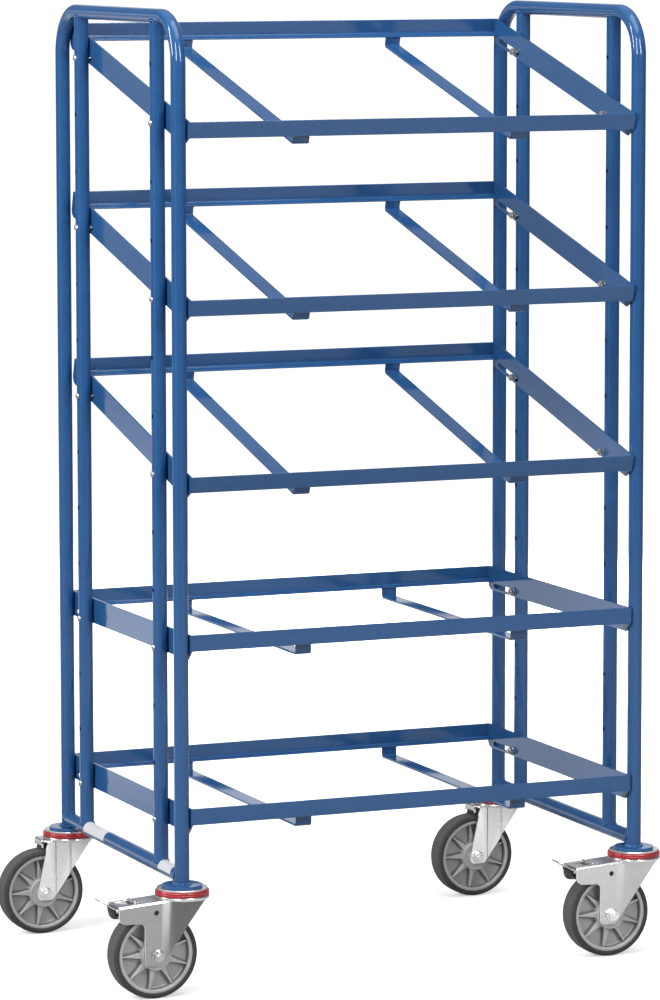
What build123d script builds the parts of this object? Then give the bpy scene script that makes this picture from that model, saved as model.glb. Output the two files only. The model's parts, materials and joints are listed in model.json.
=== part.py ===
from build123d import *
import os
from math import atan2, degrees

# Millimetres. X runs from the left end frame to the right one, Y from front to rear, Z up from the floor.

# End frames of round tube, closed at every end by its weld
TUBE_R = 13.45
FRAME_X = 450.0
LEG_Y = 300.0
UPRIGHT_Y = 196.0
BEND_R = 80.0
TOP_BAR_Z = 1743.5
CROSS_TUBE_Z = 215.0
COPE_GAP = 0.05
FLANGE_R = 36.5
FLANGE_Z = 196.0
FLANGE_T = 5.0

# Shelf hole levels in the uprights; the free holes lie between the two level shelves
HOLE_FIRST_Z = 300.4
HOLE_PITCH = 104.5
HOLE_R = 4.25
FREE_HOLES = (1, 2)

# Shelf frames, measured from the front bolt: Y to the rear, Z up
PLATE_OUTER_X = 436.5
PLATE_T = 4.0
PLATE_LOW = -9.9
PLATE_HIGH = 36.8
PLATE_REAR_R = 15.0
SLOT_R = 4.5
SLOT_FRONT_Y = 387.0
SLOT_REAR_Y = 483.0
RAIL_OUTER_Y = 312.0
RAIL_HEIGHT = 30.0
RAIL_DEPTH = 20.0
RAIL_T = 3.0
RAIL_Z = 6.7
RAIL_END_GAP = 0.1
STRAP_X = 213.0
STRAP_W = 30.0
STRAP_T = 4.0
STRAP_DROP = 20.0
STRAP_END_INSET = 14.0
STRAP_BEND_R = 7.0

# Hole number at the front and at the rear upright for each shelf, top shelf first
SHELF_HOLES = {
    "shelf_1": (12, 13),
    "shelf_2": (9, 10),
    "shelf_3": (6, 7),
    "shelf_4": (3, 3),
    "shelf_5": (0, 0),
}

# Casters, measured from the swivel axis
TRAIL = 58.0
WHEEL_R = 80.0
TYRE_HALF = 22.0
RIM_R = 70.0
RIM_HALF = 20.3
RIM_LIP_R = 63.5
WEB_HALF = 3.0
HUB_R = 22.0
HUB_HALF = 25.9
RIB_COUNT = 9
RIB_FIRST = 180.0
RIB_HALF_WIDTH = 18.0
RIB_ROOT_HALF = 7.5
RIB_NECK_R = 36.0
RIB_NECK_HALF = 2.8
RIB_TIP_HALF = 2.0
RIB_SINK = 1.0
AXLE_R = 6.0
AXLE_GAP = 0.05
AXLE_NUT_FLATS = 19.0
AXLE_NUT_T = 10.0
AXLE_HEAD_T = 7.5
AXLE_END = 2.5
CHEEK_OUTER = 29.9
CHEEK_T = 3.5
CHEEK_NOSE = 23.8
CROWN_R = 49.0
CROWN_Z = 177.0
CROWN_TOP_Z = 183.0
KINGPIN_R = 12.0
KINGPIN_LOW_Z = 174.0
SEAL_R = 49.0
SEAL_INNER_R = 38.0
SEAL_Z = 183.5
HEAD_R = 45.75
HEAD_Z = 193.0

# Folded fork cheeks: points are X and Z in the side view
FORK_FRONT_X = 38.0
FORK_TOP_Z = CROWN_Z + CHEEK_T
FORK_NOSE = (33.0, 170.5)
CHEEK_CORNER_R = 9.0

# Braked fork: an arm runs back over the wheel, with a lipped opening in its roof
ARM_REAR_X = -131.0
ARM_TOP_Z = 173.5
ARM_LOW_Z = 141.5
ARM_CORNER_R = 14.0
ARM_SLOPE_X = -33.0
ARM_ROOT = (-82.5, 139.5)
BRAKED_HEEL = (-82.5, 63.0)
BRAKED_TOE = (-51.6, 62.0)
BRAKED_FOLD_X = -37.5
ROOF_OPENING_X = -111.0
ROOF_OPENING_LENGTH = 26.0
ROOF_OPENING_WIDTH = 34.0
OPENING_LIP_T = 2.5
OPENING_LIP_TOP_Z = 180.0

# Plain fork: a hood with a lip turned down at the rear covers the wheel
HOOD_REAR_X = -62.0
HOOD_CORNER_R = 9.0
HOOD_LIP_LOW_Z = 170.0
PLAIN_REAR_X = -53.0
PLAIN_SHOULDER_Z = 172.0
PLAIN_HEEL = (-76.0, 66.0)
PLAIN_TOE = (-42.6, 66.0)
PLAIN_FOLDS = [(-36.0, CHEEK_OUTER), (-8.0, 28.8), (-6.0, 27.0)]

# Brake on the front casters: the pedal tips about its pivot and presses the shoe on the tyre
BRAKE_PIVOT = (-60.0, 158.0)
BRAKE_BOSS_R = 6.0
BRAKE_BOSS_INNER = 23.2
PEDAL_SIDE_OUTER = 25.6
PEDAL_T = 2.2
PEDAL_EYE_R = 9.0
PEDAL_EYE_CORNER_R = 6.0
PEDAL_WEB_Z = 167.0
PEDAL_WEB_FRONT_X = -82.0
PEDAL_WEB_REAR_X = -134.5
PEDAL_SIDE_DEPTH = 4.0
PEDAL_KNEE_X = -100.0
PEDAL_TIP = (-162.0, 185.2)
BLADE_HALF = 20.0
BLADE_ROOT_X = -133.0
BLADE_BEND_LOW_X = -134.9
BLADE_BEND_TOP_X = -135.5
SHOE_HALF = 18.0
SHOE_FRONT_X = -106.0
SHOE_REAR_X = -136.0
SHOE_LOW_Z = 154.0
SHOE_LIP_FRONT_X = -113.0
SHOE_LIP_REAR_X = -119.0
SHOE_LIP_Z = 145.0
SHOE_CORNER_R = 7.5

# The origin lies below the middle of the box from the pedal tips to the right seal rings
ORIGIN_X = (-PEDAL_TIP[0] - SEAL_R) / 2


def cylinder_between(start, end, radius):
    axis = Vector(*end) - Vector(*start)
    return Solid.make_cylinder(radius, axis.length, Plane(origin=start, z_dir=axis))


def outline(points, corner_radii={}):
    face = make_face(Polyline(*points, close=True))
    for index, radius in corner_radii.items():
        corner = face.vertices().sort_by_distance((*points[index], 0))[0]
        face = fillet(corner, radius)
    return face


def prism_x(face, x_from, x_to):
    return extrude(Plane.YZ.offset(x_from) * face, x_to - x_from)


def prism_y(face, half_width):
    return extrude(Plane.XZ * face, half_width, both=True)


def prism_z(face, z_from, z_to):
    return extrude(Plane.XY.offset(z_from) * face, z_to - z_from)


def hexagon(across_flats):
    return RegularPolygon(across_flats / 2, 6, major_radius=False)


def hole_z(number):
    return HOLE_FIRST_Z + HOLE_PITCH * number


def hoop(x):
    path = FilletPolyline(
        (x, -LEG_Y, FLANGE_Z + FLANGE_T),
        (x, -LEG_Y, TOP_BAR_Z),
        (x, LEG_Y, TOP_BAR_Z),
        (x, LEG_Y, FLANGE_Z + FLANGE_T),
        radius=BEND_R,
    )
    start = Plane(origin=path @ 0, z_dir=path % 0)
    return sweep(start * Circle(TUBE_R), path)


def cross_tube(x):
    tube = cylinder_between((x, -LEG_Y, CROSS_TUBE_Z), (x, LEG_Y, CROSS_TUBE_Z), TUBE_R)
    for y in (-LEG_Y, LEG_Y):
        tube -= cylinder_between((x, y, FLANGE_Z), (x, y, CROSS_TUBE_Z + BEND_R), TUBE_R + COPE_GAP)
    return tube


def upright(x, y):
    tube = cylinder_between((x, y, CROSS_TUBE_Z), (x, y, TOP_BAR_Z), TUBE_R)
    for z in (CROSS_TUBE_Z, TOP_BAR_Z):
        tube -= cylinder_between((x, y - BEND_R, z), (x, y + BEND_R, z), TUBE_R + COPE_GAP)
    for number in FREE_HOLES:
        z = hole_z(number)
        tube -= cylinder_between((x - 2 * TUBE_R, y, z), (x + 2 * TUBE_R, y, z), HOLE_R)
    return tube


def foot_flange():
    return prism_z(Circle(FLANGE_R), FLANGE_Z, FLANGE_Z + FLANGE_T)


# Shelf pieces: the front bolt of the shelf lies at Y = 0, Z = 0
RAIL_FRONT_Y = UPRIGHT_Y - RAIL_OUTER_Y
RAIL_REAR_Y = UPRIGHT_Y + RAIL_OUTER_Y


def rail(outer_y, inward):
    inner_y = outer_y + inward * RAIL_DEPTH
    face_y = outer_y + inward * RAIL_T
    angle = outline([
        (outer_y, RAIL_Z),
        (inner_y, RAIL_Z),
        (inner_y, RAIL_Z + RAIL_T),
        (face_y, RAIL_Z + RAIL_T),
        (face_y, RAIL_Z + RAIL_HEIGHT),
        (outer_y, RAIL_Z + RAIL_HEIGHT),
    ])
    half_length = PLATE_OUTER_X - PLATE_T - RAIL_END_GAP
    return prism_x(angle, -half_length, half_length)


def side_plate(side):
    corner_cut = RAIL_Z - PLATE_LOW
    edge = outline(
        [
            (RAIL_FRONT_Y, PLATE_HIGH),
            (RAIL_FRONT_Y, RAIL_Z),
            (RAIL_FRONT_Y + corner_cut, PLATE_LOW),
            (RAIL_REAR_Y, PLATE_LOW),
            (RAIL_REAR_Y, PLATE_HIGH),
        ],
        {3: PLATE_REAR_R},
    )
    slot_middle = (SLOT_FRONT_Y + SLOT_REAR_Y) / 2
    slot_length = SLOT_REAR_Y - SLOT_FRONT_Y
    edge -= Pos(slot_middle, 0) * SlotOverall(slot_length, 2 * SLOT_R)
    faces = sorted((side * PLATE_OUTER_X, side * (PLATE_OUTER_X - PLATE_T)))
    return prism_x(edge, *faces)


def strap(x):
    front_y = RAIL_FRONT_Y + STRAP_END_INSET
    rear_y = RAIL_REAR_Y - STRAP_END_INSET
    low_z = RAIL_Z - STRAP_DROP
    outside = outline(
        [(front_y, RAIL_Z), (front_y, low_z), (rear_y, low_z), (rear_y, RAIL_Z)],
        {1: STRAP_BEND_R, 2: STRAP_BEND_R},
    )
    inside = outline([
        (front_y + STRAP_T, RAIL_Z),
        (front_y + STRAP_T, low_z + STRAP_T),
        (rear_y - STRAP_T, low_z + STRAP_T),
        (rear_y - STRAP_T, RAIL_Z),
    ])
    return prism_x(outside - inside, x - STRAP_W / 2, x + STRAP_W / 2)


def shelf_place(front_hole, rear_hole):
    rise = hole_z(rear_hole) - hole_z(front_hole)
    tilt = degrees(atan2(rise, 2 * UPRIGHT_Y))
    return Pos(0, -UPRIGHT_Y, hole_z(front_hole)) * Rot(X=tilt)


# Caster pieces: the swivel axis stands at X = 0, Y = 0 and the wheel trails towards -X
def head_plate():
    plate = cylinder_between((0, 0, HEAD_Z), (0, 0, FLANGE_Z), HEAD_R)
    return plate + cylinder_between((0, 0, KINGPIN_LOW_Z), (0, 0, HEAD_Z), KINGPIN_R)


def seal_ring():
    return prism_z(Circle(SEAL_R) - Circle(SEAL_INNER_R), SEAL_Z, HEAD_Z)


def fork_crown():
    return cylinder_between((0, 0, CROWN_Z), (0, 0, CROWN_TOP_Z), CROWN_R)


def fork_bores(fork):
    fork -= cylinder_between((0, 0, 0), (0, 0, FLANGE_Z), KINGPIN_R + AXLE_GAP)
    return fork - cylinder_between((-TRAIL, -HEAD_R, WHEEL_R), (-TRAIL, HEAD_R, WHEEL_R), AXLE_R + AXLE_GAP)


def fork_cheeks(side_view, plan_line):
    cheeks = []
    for side in (-1, 1):
        outer = [(x, side * y) for x, y in plan_line]
        inner = [(x, side * (y - CHEEK_T)) for x, y in reversed(plan_line)]
        cheeks.append(prism_z(outline(outer + inner), 0, CROWN_Z + CHEEK_T))
    return prism_y(side_view, CHEEK_OUTER) & (cheeks[0] + cheeks[1])


def braked_fork():
    side_view = outline(
        [
            (ARM_REAR_X, ARM_TOP_Z),
            (ARM_REAR_X, ARM_LOW_Z),
            ARM_ROOT,
            BRAKED_HEEL,
            BRAKED_TOE,
            FORK_NOSE,
            (FORK_FRONT_X, CROWN_Z),
            (FORK_FRONT_X, FORK_TOP_Z),
            (ARM_SLOPE_X, FORK_TOP_Z),
        ],
        {1: ARM_CORNER_R, 2: CHEEK_CORNER_R, 3: CHEEK_CORNER_R, 4: CHEEK_CORNER_R},
    )
    plan_line = [(ARM_REAR_X, CHEEK_OUTER), (BRAKED_FOLD_X, CHEEK_OUTER), (FORK_FRONT_X, CHEEK_NOSE)]
    roof = outline([
        (ARM_REAR_X, ARM_TOP_Z),
        (ARM_REAR_X, ARM_TOP_Z - CHEEK_T),
        (ARM_SLOPE_X, CROWN_Z),
        (0.0, CROWN_Z),
        (0.0, FORK_TOP_Z),
        (ARM_SLOPE_X, FORK_TOP_Z),
    ])
    fork = fork_cheeks(side_view, plan_line) + prism_y(roof, CHEEK_OUTER) + fork_crown()
    opening = Rectangle(ROOF_OPENING_LENGTH, ROOF_OPENING_WIDTH)
    fork -= prism_z(Pos(ROOF_OPENING_X, 0) * opening, ARM_TOP_Z - 2 * CHEEK_T, CROWN_TOP_Z)
    lip_x = ROOF_OPENING_X + (ROOF_OPENING_LENGTH + OPENING_LIP_T) / 2
    fork += prism_z(Pos(lip_x, 0) * Rectangle(OPENING_LIP_T, ROOF_OPENING_WIDTH), ARM_TOP_Z, OPENING_LIP_TOP_Z)
    x, z = BRAKE_PIVOT
    for side in (-1, 1):
        inner_end = (x, side * BRAKE_BOSS_INNER, z)
        fork += cylinder_between((x, side * (CHEEK_OUTER - CHEEK_T), z), inner_end, BRAKE_BOSS_R)
    return fork_bores(fork)


def plain_fork():
    side_view = outline(
        [
            (PLAIN_REAR_X, FORK_TOP_Z),
            (PLAIN_REAR_X, PLAIN_SHOULDER_Z),
            PLAIN_HEEL,
            PLAIN_TOE,
            FORK_NOSE,
            (FORK_FRONT_X, CROWN_Z),
            (FORK_FRONT_X, FORK_TOP_Z),
        ],
        {2: CHEEK_CORNER_R, 3: CHEEK_CORNER_R},
    )
    plan_line = [(HOOD_REAR_X, CHEEK_OUTER), *PLAIN_FOLDS, (FORK_FRONT_X, CHEEK_NOSE)]
    hood = outline(
        [(HOOD_REAR_X, -CHEEK_OUTER), (0.0, -CHEEK_OUTER), (0.0, CHEEK_OUTER), (HOOD_REAR_X, CHEEK_OUTER)],
        {0: HOOD_CORNER_R, 3: HOOD_CORNER_R},
    )
    fork = fork_cheeks(side_view, plan_line) + prism_z(hood, CROWN_Z, FORK_TOP_Z) + fork_crown()
    lip = Rectangle(CHEEK_T, 2 * (CHEEK_OUTER - HOOD_CORNER_R))
    fork += prism_z(Pos(HOOD_REAR_X + CHEEK_T / 2, 0) * lip, HOOD_LIP_LOW_Z, FORK_TOP_Z)
    return fork_bores(fork)


def axle():
    along_y = Plane((-TRAIL, 0, WHEEL_R), x_dir=(1, 0, 0), z_dir=(0, 1, 0))
    nut_end = CHEEK_OUTER + AXLE_NUT_T
    shank = extrude(along_y.offset(-nut_end - AXLE_END) * Circle(AXLE_R), nut_end + AXLE_END + CHEEK_OUTER)
    head = extrude(along_y.offset(CHEEK_OUTER) * hexagon(AXLE_NUT_FLATS), AXLE_HEAD_T)
    nut = extrude(along_y.offset(-nut_end) * hexagon(AXLE_NUT_FLATS), AXLE_NUT_T)
    return shank + head + nut


def wheel_profile(points):
    section = Plane.XY * outline(points)
    turned = revolve(section, Axis.Y)
    return Pos(-TRAIL, 0, WHEEL_R) * turned


def rim():
    half_section = [
        (AXLE_R + AXLE_GAP, HUB_HALF),
        (HUB_R, HUB_HALF),
        (HUB_R, WEB_HALF),
        (RIM_LIP_R, WEB_HALF),
        (RIM_LIP_R, RIM_HALF),
        (RIM_R, RIM_HALF),
    ]
    mirrored = [(r, -y) for r, y in reversed(half_section)]
    wheel = wheel_profile(half_section + mirrored)
    rib = outline([
        (HUB_R - RIB_SINK, -RIB_ROOT_HALF),
        (RIB_NECK_R, -RIB_NECK_HALF),
        (RIM_LIP_R + RIB_SINK, -RIB_TIP_HALF),
        (RIM_LIP_R + RIB_SINK, RIB_TIP_HALF),
        (RIB_NECK_R, RIB_NECK_HALF),
        (HUB_R - RIB_SINK, RIB_ROOT_HALF),
    ])
    for number in range(RIB_COUNT):
        turn = Rot(Y=RIB_FIRST + 360 * number / RIB_COUNT)
        wheel += Pos(-TRAIL, 0, WHEEL_R) * turn * prism_y(rib, RIB_HALF_WIDTH)
    return wheel


def tyre():
    return wheel_profile([
        (RIM_R, TYRE_HALF),
        (WHEEL_R, TYRE_HALF),
        (WHEEL_R, -TYRE_HALF),
        (RIM_R, -TYRE_HALF),
    ])


def brake_pedal():
    x, z = BRAKE_PIVOT
    web_top_z = PEDAL_WEB_Z + PEDAL_T
    arm = outline(
        [
            (x + PEDAL_EYE_R, web_top_z),
            (PEDAL_WEB_REAR_X, web_top_z),
            (PEDAL_WEB_REAR_X, PEDAL_WEB_Z - PEDAL_SIDE_DEPTH),
            (PEDAL_KNEE_X, z - PEDAL_SIDE_DEPTH),
            (x, z - PEDAL_EYE_R),
            (x + PEDAL_EYE_R, z - PEDAL_EYE_R),
        ],
        {0: PEDAL_EYE_CORNER_R, 5: PEDAL_EYE_CORNER_R},
    )
    pedal = prism_y(arm, PEDAL_SIDE_OUTER) - prism_y(arm, PEDAL_SIDE_OUTER - PEDAL_T)
    web = Rectangle(PEDAL_WEB_FRONT_X - PEDAL_WEB_REAR_X, 2 * PEDAL_SIDE_OUTER)
    web_middle_x = (PEDAL_WEB_FRONT_X + PEDAL_WEB_REAR_X) / 2
    pedal += prism_z(Pos(web_middle_x, 0) * web, PEDAL_WEB_Z, web_top_z)
    blade = outline([
        (BLADE_ROOT_X, PEDAL_WEB_Z),
        (BLADE_BEND_LOW_X, PEDAL_WEB_Z),
        (PEDAL_TIP[0], PEDAL_TIP[1] - PEDAL_T),
        PEDAL_TIP,
        (BLADE_BEND_TOP_X, web_top_z),
        (BLADE_ROOT_X, web_top_z),
    ])
    pedal += prism_y(blade, BLADE_HALF)
    return pedal - cylinder_between((x, -HEAD_R, z), (x, HEAD_R, z), BRAKE_BOSS_R + AXLE_GAP)


def brake_shoe():
    lip_depth = SHOE_LOW_Z - SHOE_LIP_Z
    block = outline(
        [
            (SHOE_FRONT_X, PEDAL_WEB_Z),
            (SHOE_FRONT_X, SHOE_LOW_Z),
            (SHOE_LIP_FRONT_X, SHOE_LIP_Z),
            (SHOE_LIP_REAR_X, SHOE_LIP_Z),
            (SHOE_LIP_REAR_X - lip_depth, SHOE_LOW_Z),
            (SHOE_REAR_X, SHOE_LOW_Z),
            (SHOE_REAR_X, PEDAL_WEB_Z),
        ],
        {5: SHOE_CORNER_R},
    )
    return prism_y(block, SHOE_HALF)


CASTER_SIDES = {
    "front_left": (-1, -1),
    "front_right": (1, -1),
    "rear_left": (-1, 1),
    "rear_right": (1, 1),
}


def at_feet(piece):
    return Compound([Pos(sx * FRAME_X, sy * LEG_Y) * piece for sx, sy in CASTER_SIDES.values()])


nodes = {}

for side, x in (("left", -FRAME_X), ("right", FRAME_X)):
    nodes[f"hoop_{side}"] = hoop(x)
    nodes[f"cross_tube_{side}"] = cross_tube(x)
    nodes[f"upright_{side}_front"] = upright(x, -UPRIGHT_Y)
    nodes[f"upright_{side}_rear"] = upright(x, UPRIGHT_Y)
nodes["foot_flanges"] = at_feet(foot_flange())

for shelf, holes in SHELF_HOLES.items():
    place = shelf_place(*holes)
    nodes[f"{shelf}_front_rail"] = place * rail(RAIL_FRONT_Y, 1)
    nodes[f"{shelf}_rear_rail"] = place * rail(RAIL_REAR_Y, -1)
    nodes[f"{shelf}_side_plates"] = Compound([place * side_plate(side) for side in (-1, 1)])
    nodes[f"{shelf}_straps"] = Compound([place * strap(x) for x in (-STRAP_X, STRAP_X)])

nodes["caster_head_plates"] = at_feet(head_plate())
nodes["caster_seal_rings"] = at_feet(seal_ring())

caster_pieces = {
    "axle": axle(),
    "wheel_rim": rim(),
    "tyre": tyre(),
}
brake_pieces = {"fork": braked_fork(), "brake_pedal": brake_pedal(), "brake_shoe": brake_shoe()}
plain_pieces = {"fork": plain_fork()}
for corner, (sx, sy) in CASTER_SIDES.items():
    front_or_rear_pieces = brake_pieces if sy < 0 else plain_pieces
    for piece, shape in (caster_pieces | front_or_rear_pieces).items():
        nodes[f"{piece}_{corner}"] = Pos(sx * FRAME_X, sy * LEG_Y) * shape

os.makedirs("parts", exist_ok=True)
for name, shape in nodes.items():
    export_step(Pos(ORIGIN_X, 0, 0) * shape, f"parts/{name}.step")
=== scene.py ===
import json
from math import atan2, cos, hypot, pi, radians, sin, sqrt, tan

import bmesh
import bpy
from mathutils import Matrix, Vector


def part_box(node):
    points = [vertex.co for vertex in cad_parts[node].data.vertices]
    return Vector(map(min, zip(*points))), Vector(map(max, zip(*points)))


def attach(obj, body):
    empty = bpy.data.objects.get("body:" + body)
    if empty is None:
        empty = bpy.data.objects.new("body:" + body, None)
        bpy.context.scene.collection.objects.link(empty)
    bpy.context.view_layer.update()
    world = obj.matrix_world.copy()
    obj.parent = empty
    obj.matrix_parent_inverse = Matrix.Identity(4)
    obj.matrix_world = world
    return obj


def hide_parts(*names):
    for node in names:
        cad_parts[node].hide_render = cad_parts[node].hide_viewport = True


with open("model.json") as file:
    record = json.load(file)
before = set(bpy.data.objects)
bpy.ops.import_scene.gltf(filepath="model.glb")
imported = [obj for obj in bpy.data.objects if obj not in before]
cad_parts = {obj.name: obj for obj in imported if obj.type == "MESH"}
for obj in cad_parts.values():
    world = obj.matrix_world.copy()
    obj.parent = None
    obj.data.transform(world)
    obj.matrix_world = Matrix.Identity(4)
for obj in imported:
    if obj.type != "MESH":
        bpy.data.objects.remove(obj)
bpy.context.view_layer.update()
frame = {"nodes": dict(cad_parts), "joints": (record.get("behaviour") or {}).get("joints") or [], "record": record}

# Metres: X from the left end frame to the right one, Y from front to rear, Z up from the floor
MM = 0.001
NEAR = MM / 50
MERGE_GAP = MM / 500
SEAM_GAP = 0.25 * MM


def mm(*points):
    """Points that are given in millimetres."""
    return [tuple(value * MM for value in point) for point in points]


def middle(node):
    low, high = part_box(node)
    return (low + high) / 2


# End frames of round tube
HOOP_LOW, HOOP_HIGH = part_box("hoop_left")
END_FRAMES = {side: middle(f"cross_tube_{side}").x for side in ("left", "right")}
CENTRE_X = sum(END_FRAMES.values()) / 2
TUBE_R = (HOOP_HIGH.x - HOOP_LOW.x) / 2
TUBE_WALL = 2.0 * MM
TUBE_SIDES = 48
LEG_Y = HOOP_HIGH.y - TUBE_R
UPRIGHT_Y = middle("upright_left_rear").y
TOP_BAR_Z = HOOP_HIGH.z - TUBE_R
FOOT_TOP_Z = HOOP_LOW.z
CROSS_TUBE_Z = middle("cross_tube_left").z
BEND_R = 80 * MM
BEND_STEPS = 20
FLANGE_R = 36.5 * MM
FLANGE_T = 5 * MM
WELD_BEAD = 2.2 * MM
FILM_T = 0.15 * MM
FILM_GAP = 0.02 * MM

# Rows of holes in the uprights
HOLE_FIRST_Z = 300.4 * MM
HOLE_PITCH = 104.5 * MM
HOLE_COUNT = 14
HOLE_R = 4.25 * MM

# Shelf frames, measured from their front bolts
PLATE_OUTER_X = 436.5 * MM
PLATE_T = 4 * MM
PLATE_LOW = -9.9 * MM
PLATE_HIGH = 36.8 * MM
PLATE_REAR_R = 15 * MM
SLOT_R = 4.5 * MM
SLOT_FRONT_Y = 387 * MM
SLOT_REAR_Y = 483 * MM
RAIL_FRONT_Y = UPRIGHT_Y - 312 * MM
RAIL_REAR_Y = UPRIGHT_Y + 312 * MM
RAIL_HEIGHT = 30 * MM
RAIL_DEPTH = 20 * MM
RAIL_T = 3 * MM
RAIL_Z = 6.7 * MM
RAIL_HALF_LENGTH = PLATE_OUTER_X - PLATE_T
STRAP_X = 213 * MM
STRAP_W = 30 * MM
STRAP_T = 4 * MM
STRAP_LOW_Z = RAIL_Z - 20 * MM
STRAP_END_INSET = 14 * MM
STRAP_BEND_R = 7 * MM
BOLT_R = 4 * MM
SHELF_HOLES = {"shelf_1": (12, 13), "shelf_2": (9, 10), "shelf_3": (6, 7), "shelf_4": (3, 3), "shelf_5": (0, 0)}

# Casters, measured from their swivel axes on the floor; the wheels trail towards -X
CASTERS = {
    joint["name"].removeprefix("swivel_"): Vector((*joint["pos_m"][:2], 0))
    for joint in frame["joints"]
    if joint["name"].startswith("swivel_")
}
TRAIL = 58 * MM
WHEEL_R = 80 * MM
RIM_LIP_R = 63.5 * MM
WEB_HALF = 8 * MM
HUB_R = 27.5 * MM
RIB_COUNT = 9
RIB_HALF_WIDTH = 18 * MM
LINES_PER_RIB = 20
AXLE_R = 6 * MM
CHEEK_OUTER = 29.9 * MM
CHEEK_T = 3.5 * MM
CHEEK_NOSE = 23.8 * MM
FORK_TOP_Z = 180.5 * MM
FORK_FRONT_X = 38 * MM
CREASE_X = -37.5 * MM
ARM_REAR_X, ARM_TOP_Z, ARM_SLOPE_X = -131 * MM, 173.5 * MM, -33 * MM
HOOD_REAR_X, PLAIN_REAR_X = -62 * MM, -53 * MM
BRAKE_PIVOT = Vector((-60 * MM, 0, 158 * MM))
PIVOT_HOLE_R = 4.7 * MM
PEDAL_T = 2.2 * MM
PEDAL_WEB_TOP = 169.2 * MM


# Modelling by hand: each helper is one move at the bench
def at(x=0.0, y=0.0, z=0.0):
    return Matrix.Translation((x, y, z))


def turn(angle, axis):
    return Matrix.Rotation(angle, 4, axis)


def let_go():
    """Closes what is open and selects nothing."""
    if bpy.context.mode != "OBJECT":
        bpy.ops.object.mode_set(mode="OBJECT")
    bpy.ops.object.select_all(action="DESELECT")


def only(piece):
    let_go()
    piece.select_set(True)
    bpy.context.view_layer.objects.active = piece


def opened(piece):
    only(piece)
    bpy.ops.object.mode_set(mode="EDIT")


def take_all():
    bpy.ops.mesh.select_all(action="SELECT")


def lay(add, **size):
    """Adds one primitive, with its place in its mesh, and opens it for editing."""
    let_go()
    add(**size)
    piece = bpy.context.object
    bpy.ops.object.transform_apply(location=True, rotation=True, scale=True)
    bpy.ops.object.mode_set(mode="EDIT")
    bpy.ops.mesh.select_mode(type="VERT")
    take_all()
    return piece


def block(centre, size):
    return lay(bpy.ops.mesh.primitive_cube_add, size=1, location=centre, scale=size)


def rod(radius, depth, centre, along="Z", sides=TUBE_SIDES, **ends):
    rotation = {"X": (0, pi / 2, 0), "Y": (pi / 2, 0, 0), "Z": (0, 0, 0)}[along]
    return lay(bpy.ops.mesh.primitive_cylinder_add, vertices=sides, radius=radius, depth=depth,
               rotation=rotation, location=centre, **ends)


def pick(piece, kind, wanted):
    """Selects the vertices, edges or faces of the open piece that are wanted."""
    bpy.ops.mesh.select_mode(type=kind)
    bpy.ops.mesh.select_all(action="DESELECT")
    shape = bmesh.from_edit_mesh(piece.data)
    for part in {"VERT": shape.verts, "EDGE": shape.edges, "FACE": shape.faces}[kind]:
        if wanted(part):
            part.select_set(True)
    shape.select_flush_mode()
    bmesh.update_edit_mesh(piece.data)


def both_ends(test, folded=False):
    """Wants the edges whose two ends pass a test of their place; folded ones lie between two faces."""
    return lambda edge: (not folded or len(edge.link_faces) == 2) and all(test(vert.co) for vert in edge.verts)


def along_x_at(y, z):
    """Wants the edges along X that pass through one point of the section."""
    return both_ends(lambda place: hypot(place.y - y, place.z - z) < NEAR)


def bevelled(piece, width, segments, wanted, **how):
    """Rounds the edges of the open piece that are wanted."""
    pick(piece, "EDGE", wanted)
    bpy.ops.mesh.bevel(offset=width, segments=segments, affect="EDGES", **how)


def pull(x=0.0, y=0.0, z=0.0):
    """Extrudes what is selected."""
    bpy.ops.mesh.extrude_region_move(TRANSFORM_OT_translate={"value": (x, y, z)})


def widen(share):
    """Scales what is selected along Y, off the middle plane."""
    bpy.ops.transform.resize(value=(1, share, 1), center_override=(0, 0, 0))


def fold_over(towards, away, radius, steps=6):
    """Pulls the selected edges round a quarter bend, from the away direction into the towards direction."""
    angles = [step * pi / 2 / steps for step in range(steps + 1)]
    bend = [radius * ((1 - cos(angle)) * Vector(towards) + sin(angle) * Vector(away)) for angle in angles]
    for here, there in zip(bend, bend[1:]):
        pull(*(there - here))


def slice_at(point, normal):
    """Cuts an edge line across the faces that are selected."""
    bpy.ops.mesh.bisect(plane_co=point, plane_no=normal)


def shift_points(piece, moved):
    """Moves each vertex of the open piece to where moved(place) says."""
    shape = bmesh.from_edit_mesh(piece.data)
    for vert in shape.verts:
        vert.co = moved(vert.co.copy())
    bmesh.update_edit_mesh(piece.data)


def clean(gap=MERGE_GAP):
    """Merges points closer than the gap and turns every face outwards."""
    take_all()
    bpy.ops.mesh.remove_doubles(threshold=gap)
    bpy.ops.mesh.normals_make_consistent(inside=False)


def capped():
    """Closes the open ends of a tube."""
    take_all()
    bpy.ops.mesh.fill_holes(sides=0)
    clean()


def drawn(points, closed=False):
    """Draws a line of edges by pulling one point from place to place."""
    line = lay(bpy.ops.mesh.primitive_plane_add, size=MM, location=points[0])
    bpy.ops.mesh.merge(type="CENTER")
    stops = [*points, points[0]] if closed else points
    for here, there in zip(stops, stops[1:]):
        pull(*(Vector(there) - Vector(here)))
    take_all()
    if closed:
        bpy.ops.mesh.remove_doubles(threshold=MERGE_GAP)
    return line


def sheet_cut(points):
    """A flat blank cut to an outline."""
    blank = drawn(points, closed=True)
    bpy.ops.mesh.edge_face_add()
    return blank


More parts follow.
